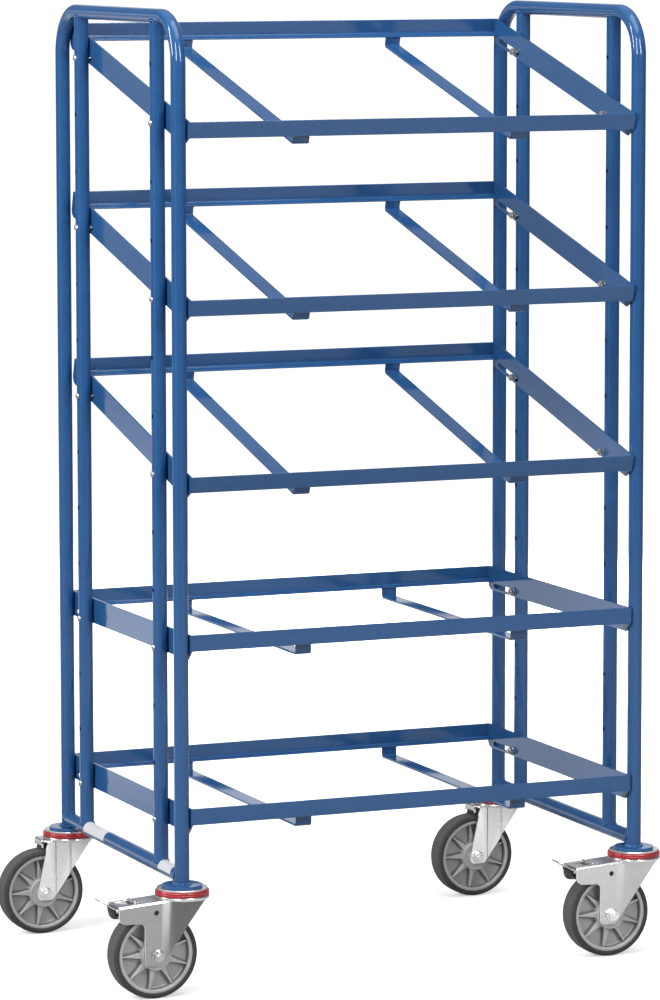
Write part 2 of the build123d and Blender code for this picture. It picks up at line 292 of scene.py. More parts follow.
def rounded(corners, radii, steps=6):
    """An outline in a plane whose corners with a radius, given in millimetres, are arcs."""
    points = []
    for index, corner in enumerate(corners):
        if index not in radii:
            points.append(corner)
            continue
        here, radius = Vector(corner), radii[index] * MM
        back = (Vector(corners[index - 1]) - here).normalized()
        ahead = (Vector(corners[(index + 1) % len(corners)]) - here).normalized()
        half_angle = back.angle(ahead) / 2
        centre = here + (back + ahead).normalized() * (radius / sin(half_angle))
        reach = radius / tan(half_angle)
        first, last = ((here + side * reach - centre).normalized() for side in (back, ahead))
        points += [tuple(centre + radius * first.slerp(last, step / steps)) for step in range(steps + 1)]
    return points


def turned(profile, steps):
    """A piece turned on a lathe: its profile of radius and height, closed if off the axis, goes once round Z."""
    piece = drawn([(radius, 0, height) for radius, height in profile], closed=profile[0][0] > 0)
    bpy.ops.mesh.spin(steps=steps, angle=2 * pi, center=(0, 0, 0), axis=(0, 0, 1))
    clean()
    return piece


def worked(piece, kind, **settings):
    """Puts one modifier on the piece and applies it."""
    only(piece)
    modifier = piece.modifiers.new(kind.lower(), kind)
    for setting, value in settings.items():
        setattr(modifier, setting, value)
    bpy.ops.object.modifier_apply(modifier=modifier.name)


def mirrored(piece):
    """Adds the other half across the plane of X and Z and opens the whole."""
    worked(piece, "MIRROR", use_axis=(False, True, False), merge_threshold=MM / 100)
    opened(piece)


def broken_edges(piece, width, segments=2, above=50):
    """Takes the sharpness off every edge steeper than the given angle."""
    worked(piece, "BEVEL", width=width, segments=segments, limit_method="ANGLE", angle_limit=radians(above))


def thickened(sheet, thickness, upwards=1, offset=-1, **how):
    """Gives an open sheet its thickness, after turning it over if its level faces look the wrong way."""
    opened(sheet)
    faces = bmesh.from_edit_mesh(sheet.data).faces
    if upwards * sum(face.normal.z * face.calc_area() for face in faces if abs(face.normal.z) > 0.7) < 0:
        take_all()
        bpy.ops.mesh.flip_normals()
    worked(sheet, "SOLIDIFY", thickness=thickness, offset=offset, **how)


def pressed(sheet, thickness, edge, is_outer, **how):
    """Finishes a folded sheet: seams closed, thickness given, sharp edges on its outer side rounded."""
    clean(SEAM_GAP)
    thickened(sheet, thickness, **how)
    opened(sheet)
    outer = both_ends(is_outer, folded=True)
    bevelled(sheet, edge, 3, lambda line: outer(line) and line.calc_face_angle() > radians(50), clamp_overlap=True)


def cut_away(piece, cutter):
    worked(piece, "BOOLEAN", operation="DIFFERENCE", object=cutter, solver="EXACT")
    bpy.data.objects.remove(cutter)


def placed(piece, matrix):
    only(piece)
    piece.matrix_world = matrix
    bpy.ops.object.transform_apply(location=True, rotation=True, scale=True)
    return piece


def copied(piece, matrix):
    """A twin with its own mesh at another place."""
    only(piece)
    bpy.ops.object.duplicate(linked=False)
    return placed(bpy.context.object, matrix)


def joined(*pieces):
    only(pieces[0])
    for piece in pieces[1:]:
        piece.select_set(True)
    bpy.ops.object.join()
    return bpy.context.object


def repeated(pattern, places):
    """Twins of one pattern at several places, joined to one piece."""
    return joined(*[copied(pattern, place) for place in places])


def discard(*pieces):
    for piece in pieces:
        only(piece)
        bpy.ops.object.delete()


def carry(piece, attribute, value_at):
    """Gives every face corner of the piece a value that its finish reads."""
    only(piece)
    values = piece.data.attributes.new(attribute, "FLOAT", "CORNER").data
    for face in piece.data.polygons:
        for corner, point in zip(face.loop_indices, face.vertices):
            values[corner].value = value_at(piece.data.vertices[point].co, face.normal)


def mounted(piece, name, finish, body, *nodes, crease=32, tone_and_painted_light=lambda place, normal: 0.6):
    """Names, shades and coats the finished piece, and fixes it to its body in place of its plain solids."""
    only(piece)
    piece.name = name
    bpy.ops.object.shade_smooth_by_angle(angle=radians(crease))
    if finish in ("blue_powder_coat", "zinc_plated_steel"):
        worked(piece, "WEIGHTED_NORMAL", keep_sharp=True)
    piece.data.materials.clear()
    piece.data.materials.append(FINISHES[finish])
    # Zinc pieces carry their plating tone and painted light: painted highlights and painted shade as lighter or
    # darker copies of one plating
    if finish == "zinc_plated_steel":
        carry(piece, "plating_tone_and_painted_light", tone_and_painted_light)
    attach(piece, body)
    if nodes:
        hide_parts(*nodes)


def painted(piece, name, *nodes, crease=32):
    mounted(piece, name, "blue_powder_coat", "frame", *nodes, crease=crease)


# Shader nodes
def add_node(tree, kind, links=(), **settings):
    """A node with its settings; links names each input and the socket or value that feeds it."""
    node = tree.nodes.new(f"ShaderNode{kind}")
    for setting, value in settings.items():
        setattr(node, setting, value)
    for socket, source in dict(links).items():
        if isinstance(source, bpy.types.NodeSocket):
            tree.links.new(source, node.inputs[socket])
        else:
            node.inputs[socket].default_value = source
    return node


def object_place(tree):
    return add_node(tree, "TexCoord").outputs["Object"]


def noise(tree, place, scale, detail, roughness=0.5):
    given = {"Vector": place, "Scale": scale, "Detail": detail, "Roughness": roughness}
    return add_node(tree, "TexNoise", given).outputs["Fac"]


def ramp(tree, value, start, end, low=0.0, high=1.0):
    given = {"Value": value, "From Min": start, "From Max": end, "To Min": low, "To Max": high}
    return add_node(tree, "MapRange", given).outputs[0]


def math_of(tree, operation, *values):
    return add_node(tree, "Math", enumerate(values), operation=operation).outputs[0]


def vector_of(tree, operation, *values):
    return add_node(tree, "VectorMath", enumerate(values), operation=operation).outputs


def sum_of(tree, first, *others):
    for other in others:
        first = math_of(tree, "ADD", other, first)
    return first


def product(tree, one, other):
    return math_of(tree, "MULTIPLY", one, other)


def blend(tree, share, one, other):
    return add_node(tree, "Mix", {"Factor": share, 2: one, 3: other}, data_type="FLOAT").outputs[0]


def tinted(tree, share, one, other):
    return add_node(tree, "Mix", {"Factor": share, 6: one, 7: other}, data_type="RGBA").outputs[2]


def carried(tree, attribute):
    return add_node(tree, "Attribute", attribute_name=attribute).outputs["Fac"]


# Shader groups: the effects that several finishes share
COLOUR, FLOAT = "NodeSocketColor", "NodeSocketFloat"


def new_group(name, inputs, outputs):
    """An empty group, the sockets that come into it and those that it puts out."""
    group = bpy.data.node_groups.new(name, "ShaderNodeTree")
    for in_out, sockets in (("INPUT", inputs), ("OUTPUT", outputs)):
        for socket, kind in sockets.items():
            group.interface.new_socket(socket, in_out=in_out, socket_type=kind)
    return group, group.nodes.new("NodeGroupInput").outputs, group.nodes.new("NodeGroupOutput").inputs


def mottle_group():
    """Slow drifts of tone between two colours, and the mask that makes them."""
    group, given, result = new_group(
        "mottle",
        {"Colour": COLOUR, "Drift Colour": COLOUR, "Scale": FLOAT, "Detail Scale": FLOAT},
        {"Colour": COLOUR, "Mask": FLOAT},
    )
    place = object_place(group)
    slow = noise(group, place, given["Scale"], 3.0, 0.55)
    fine = noise(group, place, given["Detail Scale"], 4.0, 0.6)
    mask = ramp(group, sum_of(group, fine, slow), 0.72, 1.28)
    group.links.new(tinted(group, mask, given["Colour"], given["Drift Colour"]), result["Colour"])
    group.links.new(mask, result["Mask"])
    return group


def grain_group():
    """The height of a fine skin: a close grain on a slower swell."""
    group, given, result = new_group(
        "grain", {"Scale": FLOAT, "Swell Scale": FLOAT, "Swell Share": FLOAT}, {"Height": FLOAT})
    place = object_place(group)
    fine = noise(group, place, given["Scale"], 2.0)
    swell = noise(group, place, given["Swell Scale"], 1.0)
    group.links.new(blend(group, given["Swell Share"], fine, swell), result["Height"])
    return group


def streak_group():
    """A mask of long thin rub marks along one direction."""
    group, given, result = new_group("streaks", {"Along": FLOAT, "Across": FLOAT}, {"Mask": FLOAT})
    along, across = given["Along"], given["Across"]
    stretched = add_node(group, "CombineXYZ", {"X": across, "Y": across, "Z": along}).outputs[0]
    rubs = noise(group, vector_of(group, "MULTIPLY", object_place(group), stretched)[0], 1.0, 3.0)
    group.links.new(ramp(group, rubs, 0.35, 0.7), result["Mask"])
    return group


GROUPS = {"mottle": mottle_group(), "grain": grain_group(), "streaks": streak_group()}


def effect(tree, group, values):
    """One of the shared groups with its values in order."""
    return add_node(tree, "Group", enumerate(values), node_tree=GROUPS[group]).outputs


def plain_material(name, **shader_values):
    """A material with a plain shader whose fixed values are set on its own sockets."""
    material = bpy.data.materials.new(name)
    material.use_nodes = True
    shader = material.node_tree.nodes["Principled BSDF"].inputs
    for socket, value in shader_values.items():
        shader[socket.replace("_", " ")].default_value = value
    return material, material.node_tree, shader


def coating(name, tones, skin, roughness, bump, second=None, rubs=None, mould_pitch=None, **shader_values):
    """Drifting tones, other ones where the piece carries an attribute, and a grained skin, even or rubbed."""
    material, tree, shader = plain_material(name, **shader_values)
    colour, mask = effect(tree, "mottle", tones)
    if second:
        attribute, *other_tones = second
        colour = tinted(tree, carried(tree, attribute), colour, effect(tree, "mottle", other_tones)["Colour"])
    if rubs:
        mask = effect(tree, "streaks", rubs)["Mask"]
    height = effect(tree, "grain", skin)["Height"]
    if mould_pitch:
        rings = math_of(tree, "SINE", product(tree, carried(tree, "mould_line"), 2 * pi / mould_pitch))
        height = math_of(tree, "MULTIPLY_ADD", rings, 0.12, height)
    depth, strength = bump
    relief = add_node(tree, "Bump", {"Height": height, "Distance": depth * MM, "Strength": strength})
    tree.links.new(colour, shader["Base Color"])
    tree.links.new(ramp(tree, mask, 0.0, 1.0, *roughness), shader["Roughness"])
    tree.links.new(relief.outputs[0], shader["Normal"])
    return material


# Tones: two colours, the scales of their slow and fine drift; second: the same after an attribute's name;
# rubs: scales along and across; skin: scales of grain and swell, the swell's share; bump: depth in mm, strength
COATINGS = {
    "blue_powder_coat": dict(
        tones=((0.0170, 0.080, 0.220, 1), (0.0215, 0.091, 0.245, 1), 5.0, 45.0),
        # The inside of the uprights is coloured near black: painted shade in their bores
        second=("painted_shade_inside", (0.004, 0.004, 0.005, 1), (0.004, 0.004, 0.005, 1), 5.0, 45.0),
        skin=(1100.0, 330.0, 0.65), roughness=(0.07, 0.12), bump=(0.02, 0.4), Specular_IOR_Level=0.28),
    # Zinc: dull tones mixed towards bright ones by the plating tone and painted light that each piece carries
    "zinc_plated_steel": dict(
        tones=((0.112, 0.115, 0.114, 1), (0.142, 0.145, 0.143, 1), 14.0, 160.0),
        second=("plating_tone_and_painted_light", (0.80, 0.81, 0.81, 1), (0.86, 0.865, 0.865, 1), 14.0, 160.0),
        rubs=(40.0, 700.0), skin=(2600.0, 420.0, 0.5), roughness=(0.22, 0.28), bump=(0.012, 0.4), Metallic=0.82),
    # Rim: darker tones where the rim carries pocket_shade, painted shade in its pockets
    "rim_cast_aluminium": dict(
        tones=((0.38, 0.385, 0.39, 1), (0.44, 0.445, 0.45, 1), 40.0, 420.0),
        second=("pocket_shade", (0.060, 0.061, 0.063, 1), (0.090, 0.091, 0.093, 1), 60.0, 420.0),
        skin=(2200.0, 900.0, 0.4), roughness=(0.5, 0.62), bump=(0.15, 0.6), Metallic=0.25),
    "tyre_grey_rubber": dict(
        tones=((0.054, 0.054, 0.055, 1), (0.070, 0.070, 0.071, 1), 22.0, 300.0),
        second=("tread", (0.096, 0.096, 0.097, 1), (0.118, 0.118, 0.119, 1), 22.0, 300.0), mould_pitch=1.6 * MM,
        skin=(3000.0, 700.0, 0.3), roughness=(0.52, 0.68), bump=(0.2, 0.5), Specular_IOR_Level=0.03),
    "red_seal_plastic": dict(
        tones=((0.30, 0.004, 0.011, 1), (0.36, 0.006, 0.015, 1), 30.0, 260.0),
        skin=(2400.0, 500.0, 0.5), roughness=(0.24, 0.34), bump=(0.05, 0.4)),
    "black_brake_rubber": dict(
        tones=((0.010, 0.010, 0.011, 1), (0.018, 0.018, 0.019, 1), 60.0, 500.0),
        skin=(2500.0, 800.0, 0.4), roughness=(0.5, 0.62), bump=(0.15, 0.6), Specular_IOR_Level=0.25),
    "white_label_film": dict(
        tones=((0.60, 0.61, 0.635, 1), (0.65, 0.655, 0.67, 1), 90.0, 700.0),
        skin=(1500.0, 300.0, 0.6), roughness=(0.35, 0.45), bump=(0.05, 0.4)),
}
FINISHES = {name: coating(name, **recipe) for name, recipe in COATINGS.items()}

for part in frame["record"]["subparts"]:
    cad_materials = frame["nodes"][part["node"]].data.materials
    cad_materials.clear()
    cad_materials.append(FINISHES[part["material_slot"]])


# End frames
def saddle(x):
    """How far a tube's end stands off the middle of an equal tube that it meets, its ears cut short."""
    return sqrt(max(TUBE_R**2 - x**2, (0.6 * TUBE_R) ** 2))


def bent_hoop(side):
    """One tube bent twice: a leg, the top bar and the other leg."""
    x, bend_y, bend_z = END_FRAMES[side], LEG_Y - BEND_R, TOP_BAR_Z - BEND_R
    hoop = lay(bpy.ops.mesh.primitive_circle_add, vertices=TUBE_SIDES, radius=TUBE_R,
               location=(x, -LEG_Y, FOOT_TOP_Z))
    pull(z=bend_z - FOOT_TOP_Z)
    for y, run in ((-bend_y, {"y": 2 * bend_y}), (bend_y, {"z": FOOT_TOP_Z - bend_z})):
        bpy.ops.mesh.spin(steps=BEND_STEPS, angle=pi / 2, center=(x, y, bend_z), axis=(1, 0, 0))
        pull(**run)
    capped()
    painted(hoop, f"bent_hoop_{side}", f"hoop_{side}")


def coped_cross_tube(side):
    x = END_FRAMES[side]
    tube = rod(TUBE_R, 2 * LEG_Y, (x, 0, CROSS_TUBE_Z), "Y", end_fill_type="NOTHING")
    shift_points(tube, lambda place: place + Vector((0, saddle(place.x - x) * (1 if place.y < 0 else -1), 0)))
    capped()
    painted(tube, f"coped_cross_tube_{side}", f"cross_tube_{side}")


def hole_z(number):
    return HOLE_FIRST_Z + number * HOLE_PITCH


def drilled_uprights():
    """Tubes coped at both ends and drilled through along X at an even pitch."""
    middle_z = (TOP_BAR_Z + CROSS_TUBE_Z) / 2
    upright = rod(TUBE_R, TOP_BAR_Z - CROSS_TUBE_Z, (0, 0, middle_z), end_fill_type="NOTHING")
    shift_points(upright, lambda place: place + Vector(
        (0, 0, saddle(place.x) * (1 if place.z < middle_z else -1))))
    for level in range(HOLE_COUNT):
        for side in (-1, 1):
            take_all()
            slice_at((0, 0, hole_z(level) + side * 1.6 * HOLE_R), (0, 0, 1))
    worked(upright, "SOLIDIFY", thickness=TUBE_WALL, offset=-1)
    drill = rod(HOLE_R, 3 * TUBE_R, (0, 0, HOLE_FIRST_Z), "X", 28)
    for _ in range(1, HOLE_COUNT):
        bpy.ops.mesh.duplicate_move(TRANSFORM_OT_translate={"value": (0, 0, HOLE_PITCH)})
    cut_away(upright, drill)
    # Painted shade: the inside of the tube is coloured near black so that the holes look dark
    carry(upright, "painted_shade_inside", lambda place, normal: float(hypot(place.x, place.y) < TUBE_R - TUBE_WALL / 2))
    for side, x in END_FRAMES.items():
        for end, y in (("front", -UPRIGHT_Y), ("rear", UPRIGHT_Y)):
            painted(copied(upright, at(x, y)), f"drilled_upright_{side}_{end}", f"upright_{side}_{end}")
    discard(upright)


def weld_ring(bead, coped):
    """Overlapping weld beads round a tube, following its cope where it meets another."""
    ring = lay(bpy.ops.mesh.primitive_torus_add, major_segments=168, minor_segments=10,
               major_radius=TUBE_R, minor_radius=bead)

    def laid_down(place):
        around = atan2(place.y, place.x)
        core = Vector((TUBE_R * cos(around), TUBE_R * sin(around), 0))
        swell = 1 + 0.24 * sin(17 * around) + 0.16 * sin(7 * around + 1)
        return core + (place - core) * swell + Vector((0, 0, saddle(core.x) if coped else 0))

    shift_points(ring, laid_down)
    clean()
    return ring


def frame_welds(side):
    coped_ring, flat_ring = weld_ring(WELD_BEAD, True), weld_ring(1.5 * WELD_BEAD, False)
    rings = [
        copied(ring, at(END_FRAMES[side], end * y, z) @ turn(angle, "X"))
        for end in (-1, 1)
        for ring, y, z, angle in (
            (coped_ring, UPRIGHT_Y, CROSS_TUBE_Z, 0),
            (coped_ring, UPRIGHT_Y, TOP_BAR_Z, pi),
            (coped_ring, LEG_Y, CROSS_TUBE_Z, end * pi / 2),
            (flat_ring, LEG_Y, FOOT_TOP_Z, 0),
        )
    ]
    discard(coped_ring, flat_ring)
    painted(joined(*rings), f"frame_welds_{side}", crease=60)


def label_film(name, from_y, to_y, from_angle, to_angle):
    """A blank film round part of the left cross tube; the angles go from the top towards the outer side."""
    x, steps = END_FRAMES["left"], 12
    film = lay(bpy.ops.mesh.primitive_circle_add, vertices=144, radius=TUBE_R + FILM_GAP,
               location=(x, from_y, CROSS_TUBE_Z), rotation=(pi / 2, 0, 0))
    pick(film, "VERT", lambda vert: not (
        radians(from_angle) < atan2(x - vert.co.x, vert.co.z - CROSS_TUBE_Z) < radians(to_angle)))
    bpy.ops.mesh.delete(type="VERT")
    take_all()
    for _ in range(steps):
        pull(y=(to_y - from_y) / steps)
    clean()
    thickened(film, FILM_T, offset=1)
    mounted(film, name, "white_label_film", "frame")


def foot_flanges():
    low, edge = FOOT_TOP_Z - FLANGE_T, 0.9 * MM
    flange = turned([
        (0, low), (FLANGE_R - edge, low), (FLANGE_R, low + edge), (FLANGE_R, FOOT_TOP_Z - edge),
        (FLANGE_R - 0.3 * edge, FOOT_TOP_Z - 0.3 * edge), (FLANGE_R - edge, FOOT_TOP_Z), (0, FOOT_TOP_Z)], 96)
    painted(repeated(flange, [at(*foot) for foot in CASTERS.values()]), "round_foot_flanges", "foot_flanges")
    discard(flange)


# Shelf frames, made level and then set on their bolts
def shelf_place(front_hole, rear_hole):
    tilt = atan2((rear_hole - front_hole) * HOLE_PITCH, 2 * UPRIGHT_Y)
    return at(CENTRE_X, -UPRIGHT_Y, hole_z(front_hole)) @ turn(tilt, "X")


def angle_rail(outer_y, inward):
    """A rolled angle: one flange stands at the shelf's edge, the other lies under the boxes."""
    root_y, toe_y = outer_y + inward * RAIL_T, outer_y + inward * RAIL_DEPTH
    root_z, toe_z = RAIL_Z + RAIL_T, RAIL_Z + RAIL_HEIGHT
    rail = block((0, (outer_y + root_y) / 2, (RAIL_Z + toe_z) / 2), (2 * RAIL_HALF_LENGTH, RAIL_T, RAIL_HEIGHT))
    slice_at((0, 0, root_z), (0, 0, 1))
    pick(rail, "FACE", lambda face: face.normal.y * inward > 0.9 and face.calc_center_median().z < root_z)
    pull(y=toe_y - root_y)
    for y, z, radius, segments in (
        (root_y, root_z, 4.0 * MM, 6),
        (outer_y, RAIL_Z, 0.8 * MM, 3),
        (outer_y, toe_z, 0.7 * MM, 3),
        (root_y, toe_z, 1.6 * MM, 4),
        (toe_y, root_z, 1.6 * MM, 4),
        (toe_y, RAIL_Z, 0.7 * MM, 3),
    ):
        bevelled(rail, radius, segments, along_x_at(y, z))
    clean()
    return rail


def side_plate():
    """A flat bar with a corner cut off at the front, a round one at the rear and a slot for the rear bolt."""
    plate = block((0, (RAIL_FRONT_Y + RAIL_REAR_Y) / 2, (PLATE_LOW + PLATE_HIGH) / 2),
                  (PLATE_T, RAIL_REAR_Y - RAIL_FRONT_Y, PLATE_HIGH - PLATE_LOW))
    bevelled(plate, RAIL_Z - PLATE_LOW, 1, along_x_at(RAIL_FRONT_Y, PLATE_LOW))
    bevelled(plate, PLATE_REAR_R, 10, along_x_at(RAIL_REAR_Y, PLATE_LOW))
    slot = block((0, (SLOT_FRONT_Y + SLOT_REAR_Y) / 2, 0), (4 * PLATE_T, SLOT_REAR_Y - SLOT_FRONT_Y, 2 * SLOT_R))
    bevelled(slot, 0.999 * SLOT_R, 8, lambda edge: abs(edge.verts[0].co.x - edge.verts[1].co.x) > PLATE_T)
    clean(0.05 * MM)
    cut_away(plate, slot)
    broken_edges(plate, 0.6 * MM)
    return plate


def hung_strap():
    """A strip whose ends are folded up to hang from the rails."""
    front_y, rear_y = RAIL_FRONT_Y + STRAP_END_INSET, RAIL_REAR_Y - STRAP_END_INSET
    side_view = [(front_y, RAIL_Z), (front_y, STRAP_LOW_Z), (rear_y, STRAP_LOW_Z), (rear_y, RAIL_Z)]
    strap = drawn([(-STRAP_W / 2, y, z) for y, z in side_view])
    pull(x=STRAP_W)
    for y in (front_y, rear_y):
        bevelled(strap, STRAP_BEND_R, 8, along_x_at(y, STRAP_LOW_Z))
    clean()
    thickened(strap, STRAP_T, upwards=-1)
    broken_edges(strap, 0.6 * MM)
    return strap


def weld_run(start, end, bead=1.5 * MM):
    """A short straight weld: a bead pulled along in overlapping drops."""
    start, end = Vector(start), Vector(end)
    steps = max(6, round((end - start).length / (0.8 * MM)))
    step = (end - start) / steps
    tip_size = size = 0.5
    run = lay(bpy.ops.mesh.primitive_circle_add, vertices=10, radius=tip_size * bead, fill_type="NGON",
              location=start, rotation=step.to_track_quat("Z", "Y").to_euler())
    for number in range(1, steps + 1):
        pull(*step)
        wanted = tip_size if number == steps else 1 + 0.13 * sin(1.7 * number)
        bpy.ops.transform.resize(value=(wanted / size,) * 3, center_override=start + number * step)
        size = wanted
    clean()
    return run


def shelf_welds():
    """Beads at the ends of the rails on the side plates and at the folded ends of the straps."""
    runs, half, strap_edge_bead = [], 0.42 * STRAP_W, 1.3 * MM
    low_z, high_z = RAIL_Z + RAIL_T + 2 * MM, RAIL_Z + RAIL_HEIGHT - MM
    for outer_y, inward in ((RAIL_FRONT_Y, 1), (RAIL_REAR_Y, -1)):
        root_y, toe_y = outer_y + inward * RAIL_T, outer_y + inward * RAIL_DEPTH
        for x in (-RAIL_HALF_LENGTH, RAIL_HALF_LENGTH):
            runs.append(weld_run((x, root_y, low_z), (x, root_y, high_z)))
            runs.append(weld_run((x, outer_y + inward * 4 * MM, RAIL_Z), (x, toe_y, RAIL_Z)))
        y = outer_y + inward * (STRAP_END_INSET + STRAP_T)
        for strap_x in (-STRAP_X, STRAP_X):
            runs.append(weld_run((strap_x - half, y, RAIL_Z), (strap_x + half, y, RAIL_Z)))
            for x in (strap_x - STRAP_W / 2, strap_x + STRAP_W / 2):
                runs.append(weld_run((x, y - inward * STRAP_T, RAIL_Z), (x, y, RAIL_Z), strap_edge_bead))
    return joined(*runs)


def hexagon_block(across_flats, thickness, chamfer):
    """A hexagon with its corners turned down on the outer end, which faces +Z."""
    nut = rod(across_flats / sqrt(3), thickness, (0, 0, thickness / 2), sides=6)
    inner, low = across_flats / 2 - 0.3 * chamfer, thickness - 1.3 * chamfer
    cut_away(nut, turned([
        (inner, thickness + 0.01 * MM), (across_flats / 2 + 2 * chamfer, low), (across_flats, low),
        (across_flats, 2 * thickness), (inner, 2 * thickness)], 48))
    broken_edges(nut, 0.25 * MM, above=40)
    return nut


def thread_end(radius, start, length):
    """The turned end of a bolt with its thread as close rings and a chamfered tip."""
    pitch, tip, end = 1.25 * MM, 0.9 * MM, start + length
    profile = [(0, start), (radius, start)]
    for number in range(int((length - tip) / pitch)):
        height = start + number * pitch
        profile += [(radius, height + 0.15 * MM), (0.88 * radius, height + 0.62 * MM), (radius, height + 1.1 * MM)]
    return turned([*profile, (radius, end - tip), (0.8 * radius, end), (0, end)], 32)


def shelf_bolt():
    """A round head outside the tube; the washer, nut and thread end lie inside the plate. Outwards is +Z."""
    head_r, head_t, washer_t, nut_t, end_t = 6.0 * MM, 2.6 * MM, 1.6 * MM, 6.5 * MM, 3.4 * MM
    dome = ((0.96, 0.45), (0.82, 0.75), (0.58, 0.93), (0.3, 1), (0, 1))
    head = turned([
        (0, TUBE_R - MM), (head_r, TUBE_R - MM), (head_r, TUBE_R + 0.6 * MM),
        *((out * head_r, TUBE_R + up * head_t) for out, up in dome)], 40)
    inner_face = END_FRAMES["right"] - CENTRE_X - PLATE_OUTER_X + PLATE_T
    washer = turned(mm((0, 0), (7.7, 0), (8.0, 0.3), (8.0, 1.2), (7.6, 1.6), (0, 1.6)), 40)
    nut = placed(hexagon_block(13 * MM, nut_t, 0.9 * MM), at(z=washer_t))
    tip = thread_end(BOLT_R, washer_t + nut_t, end_t)
    inside = placed(joined(washer, nut, tip), at(z=-inner_face) @ turn(pi, "X"))
    shank = turned([(0, -inner_face), (BOLT_R, -inner_face), (BOLT_R, TUBE_R), (0, TUBE_R)], 24)
    return joined(head, inside, shank)


def shelves():
    rails = {"front": angle_rail(RAIL_FRONT_Y, 1), "rear": angle_rail(RAIL_REAR_Y, -1)}
    plate, strap, welds, bolt = side_plate(), hung_strap(), shelf_welds(), shelf_bolt()
    for shelf, holes in SHELF_HOLES.items():
        place = shelf_place(*holes)
        for end, rail in rails.items():
            painted(copied(rail, place), f"{shelf}_angle_rail_{end}", f"{shelf}_{end}_rail")
        for pattern, x, name, node in (
            (plate, PLATE_OUTER_X - PLATE_T / 2, "slotted_plates", "side_plates"),
            (strap, STRAP_X, "hung_straps", "straps"),
        ):
            painted(repeated(pattern, [place @ at(-x), place @ at(x)]), f"{shelf}_{name}", f"{shelf}_{node}")
        painted(copied(welds, place), f"{shelf}_welds", crease=60)
        spots = [
            at(END_FRAMES[side], y, hole_z(hole)) @ turn(outwards, "Y")
            for side, outwards in (("left", -pi / 2), ("right", pi / 2))
            for y, hole in zip((-UPRIGHT_Y, UPRIGHT_Y), holes)
        ]
        # The bolts' plating is painted darker: painted shade on their heads
        mounted(repeated(bolt, spots), f"{shelf}_bolts", "zinc_plated_steel", "frame", crease=40,
                tone_and_painted_light=lambda place, normal: 0.25)
    discard(*rails.values(), plate, strap, welds, bolt)


# Casters
def head_plate():
    plate = turned(mm((0, 193), (44.95, 193), (45.75, 193.8), (45.75, 195.1), (44.85, 196), (0, 196)), 96)
    kingpin = turned(mm((0, 174), (11, 174), (12, 175), (12, 194), (0, 194)), 48)
    return joined(plate, kingpin)


def seal_ring():
    """A ring with a groove round its rim."""
    return turned(mm(
        (38, 183.5), (47.8, 183.5), (48.7, 183.9), (49, 184.8), (49, 187.0), (48.5, 187.5), (48.1, 188.0),
        (48.5, 188.6), (48.6, 190.2), (48.2, 191.6), (47.3, 192.6), (46.2, 193), (38, 193)), 120)


def crown_disc():
    return turned(mm(
        (12.05, 177), (46.6, 177), (47.9, 177.5), (48.8, 178.7), (49, 180.2), (48.8, 181.6), (48.2, 182.6),
        (47.2, 183), (12.05, 183)), 120)


def half_width_at(plan_line, x):
    """Half the fork's width at X, read off its cheek's line in plan."""
    for (from_x, from_y), (to_x, to_y) in zip(plan_line, plan_line[1:]):
        if x <= to_x:
            return from_y + (to_y - from_y) * max(x - from_x, 0) / (to_x - from_x)
    return plan_line[-1][1]


def folded_cheeks(side_view, plan_line, roof_z, fold_r):
    """Sheet metal folded to a channel: two cheeks under one roof, nosed in towards the front."""
    sheet = sheet_cut([(x, -CHEEK_OUTER, min(z, roof_z(x) - fold_r)) for x, z in side_view])
    for fold_x, _ in plan_line[1:-1]:
        take_all()
        slice_at((fold_x, 0, 0), (1, 0, 0))
    shift_points(sheet, lambda place: Vector((place.x, -half_width_at(plan_line, place.x), place.z)))
    pick(sheet, "EDGE", both_ends(lambda place: place.z > roof_z(place.x) - fold_r - NEAR))
    fold_over((0, 1, 0), (0, 0, 1), fold_r)
    pull(y=5 * MM)
    widen(0)
    mirrored(sheet)
    return sheet


def cross_drill(piece, x, z, radius):
    cut_away(piece, rod(radius, 4 * CHEEK_OUTER, (x, 0, z), "Y", 40))


def on_pivot(profile, steps):
    """A turned piece at each end of the brake pivot."""
    return [placed(turned(profile, steps), at(*BRAKE_PIVOT) @ turn(-side * pi / 2, "X")) for side in (-1, 1)]


def is_level(face):
    return abs(face.normal.z) > 0.98


def braked_roof_z(x):
    slope = (FORK_TOP_Z - ARM_TOP_Z) / (ARM_SLOPE_X - ARM_REAR_X)
    return min(FORK_TOP_Z, ARM_TOP_Z + slope * (x - ARM_REAR_X))


